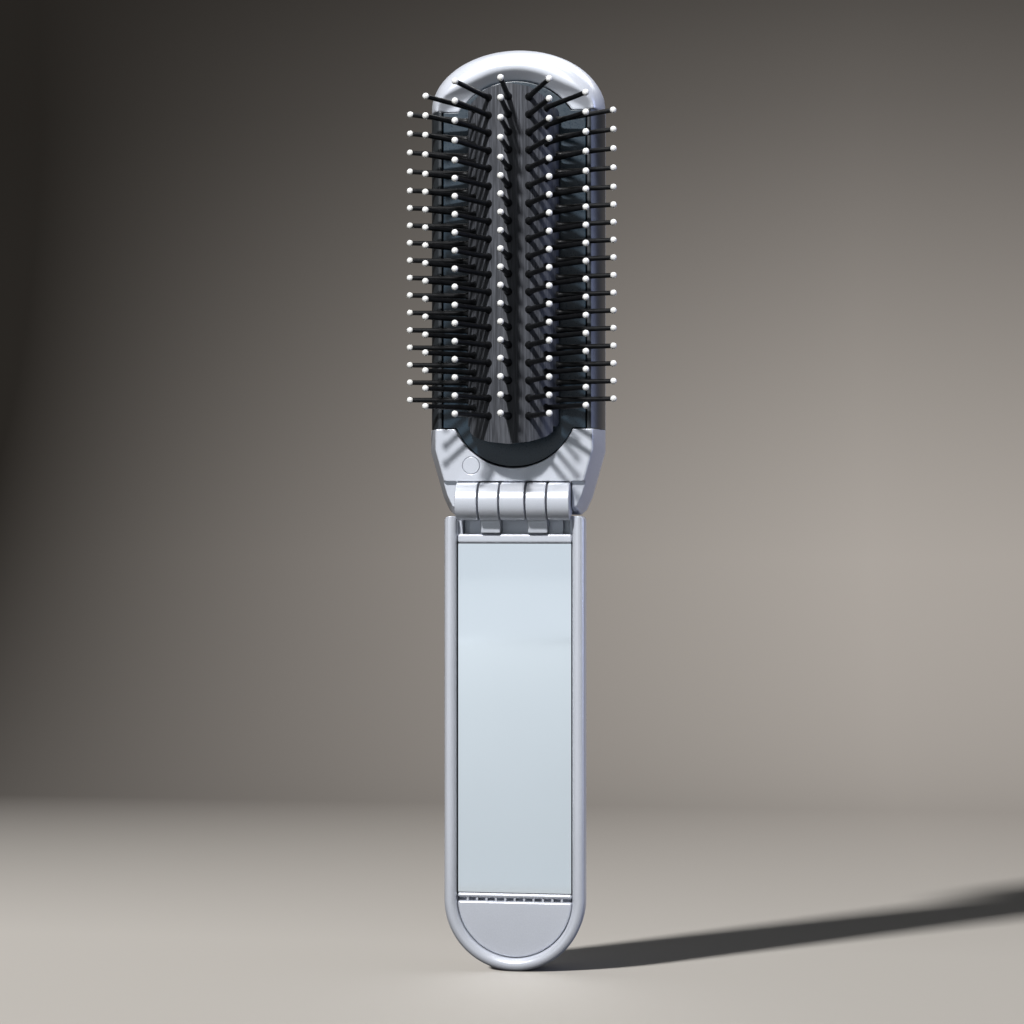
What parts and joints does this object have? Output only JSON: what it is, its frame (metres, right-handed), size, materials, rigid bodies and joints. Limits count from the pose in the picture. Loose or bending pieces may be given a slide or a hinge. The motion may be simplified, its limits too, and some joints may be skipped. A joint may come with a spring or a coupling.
{
  "type": "folding hairbrush with mirror",
  "caption": "Folding pocket hairbrush: a mirror half hinged to a half-round brush whose pop-up bristle bed sinks in as it closes.",
  "frame": {"origin": "below the middle of the open brush's box, at the round end of the handle", "axes": "+Z from the handle up through the brush head, -Y out of the mirror and bristle face, +X to the right as the mirror is seen"},
  "size_m": [0.046, 0.042, 0.2033],
  "materials": {
    "silver_plastic": "satin metallic silver plastic",
    "foam_tape": "double-sided pad behind the mirror",
    "mirror": "silvered plastic or glass mirror",
    "steel": "plain steel",
    "black_plastic": "satin black plastic",
    "black_rubber": "flexible black moulding with its pins",
    "white_tips": "white balls on the pin ends"
  },
  "bodies": {
    "handle": {"handle_shell": "silver_plastic", "mirror_frame": "silver_plastic", "mirror_tape": "foam_tape", "mirror_glass": "mirror", "hinge_leaf": "silver_plastic", "handle_screws": "steel"},
    "head": {"hinge_pin": "steel", "hinge_block": "silver_plastic", "head_back": "silver_plastic", "bed_frame": "black_plastic", "end_cap": "silver_plastic", "head_screws": "steel", "block_screw": "steel", "screw_plug": "silver_plastic", "lift_springs": "steel"},
    "tray": {"lift_tray": "black_plastic"},
    "bed_mid": {"stave_mid": "black_rubber", "tips_mid": "white_tips"},
    "bed_left_1": {"stave_left_1": "black_rubber", "tips_left_1": "white_tips"},
    "bed_left_2": {"stave_left_2": "black_rubber", "tips_left_2": "white_tips"},
    "bed_left_3": {"stave_left_3": "black_rubber", "tips_left_3": "white_tips"},
    "bed_right_1": {"stave_right_1": "black_rubber", "tips_right_1": "white_tips"},
    "bed_right_2": {"stave_right_2": "black_rubber", "tips_right_2": "white_tips"},
    "bed_right_3": {"stave_right_3": "black_rubber", "tips_right_3": "white_tips"}
  },
  "joints": [
    {"name": "fold", "type": "hinge", "parent": "handle", "child": "head", "pos_m": [0, 0.00201, 0.103], "axis": [1, 0, 0], "range_deg": [0, 180]},
    {"name": "tray_lift", "type": "slide", "parent": "head", "child": "tray", "axis": [0, 1, 0], "range_m": [0, 0.0132], "stiffness_N_per_m": 40, "springref_m": -0.006, "deforming": ["lift_springs"]},
    {"name": "bed_lift", "type": "slide", "parent": "tray", "child": "bed_mid", "axis": [0, 1, 0], "range_m": [0, 0.0091], "stiffness_N_per_m": 30, "springref_m": -0.005},
    {"name": "seam_right_1", "type": "hinge", "parent": "bed_mid", "child": "bed_right_1", "pos_m": [0.00225, -0.00723, 0.15], "axis": [0, 0, 1], "range_deg": [-28, 0], "stiffness_Nm_per_rad": 0.002, "springref_deg": 11.46},
    {"name": "seam_right_2", "type": "hinge", "parent": "bed_right_1", "child": "bed_right_2", "pos_m": [0.00629, -0.00526, 0.15], "axis": [0, 0, 1], "range_deg": [-37, 0], "stiffness_Nm_per_rad": 0.002, "springref_deg": 11.46},
    {"name": "seam_right_3", "type": "hinge", "parent": "bed_right_2", "child": "bed_right_3", "pos_m": [0.00906, -0.00171, 0.15], "axis": [0, 0, 1], "range_deg": [-38, 0], "stiffness_Nm_per_rad": 0.002, "springref_deg": 11.46},
    {"name": "seam_left_1", "type": "hinge", "parent": "bed_mid", "child": "bed_left_1", "pos_m": [-0.00225, -0.00723, 0.15], "axis": [0, 0, 1], "range_deg": [0, 28], "stiffness_Nm_per_rad": 0.002, "springref_deg": -11.46},
    {"name": "seam_left_2", "type": "hinge", "parent": "bed_left_1", "child": "bed_left_2", "pos_m": [-0.00629, -0.00526, 0.15], "axis": [0, 0, 1], "range_deg": [0, 37], "stiffness_Nm_per_rad": 0.002, "springref_deg": -11.46},
    {"name": "seam_left_3", "type": "hinge", "parent": "bed_left_2", "child": "bed_left_3", "pos_m": [-0.00906, -0.00171, 0.15], "axis": [0, 0, 1], "range_deg": [0, 38], "stiffness_Nm_per_rad": 0.002, "springref_deg": -11.46}
  ],
  "couplings": [
    {"joint": "tray_lift", "follows": "fold", "m_per_rad": 0.0042017},
    {"joint": "bed_lift", "follows": "fold", "m_per_rad": 0.0028966},
    {"joint": "seam_right_1", "follows": "fold", "ratio": -0.15556},
    {"joint": "seam_right_2", "follows": "fold", "ratio": -0.20556},
    {"joint": "seam_right_3", "follows": "fold", "ratio": -0.21111},
    {"joint": "seam_left_1", "follows": "fold", "ratio": 0.15556},
    {"joint": "seam_left_2", "follows": "fold", "ratio": 0.20556},
    {"joint": "seam_left_3", "follows": "fold", "ratio": 0.21111}
  ]
}
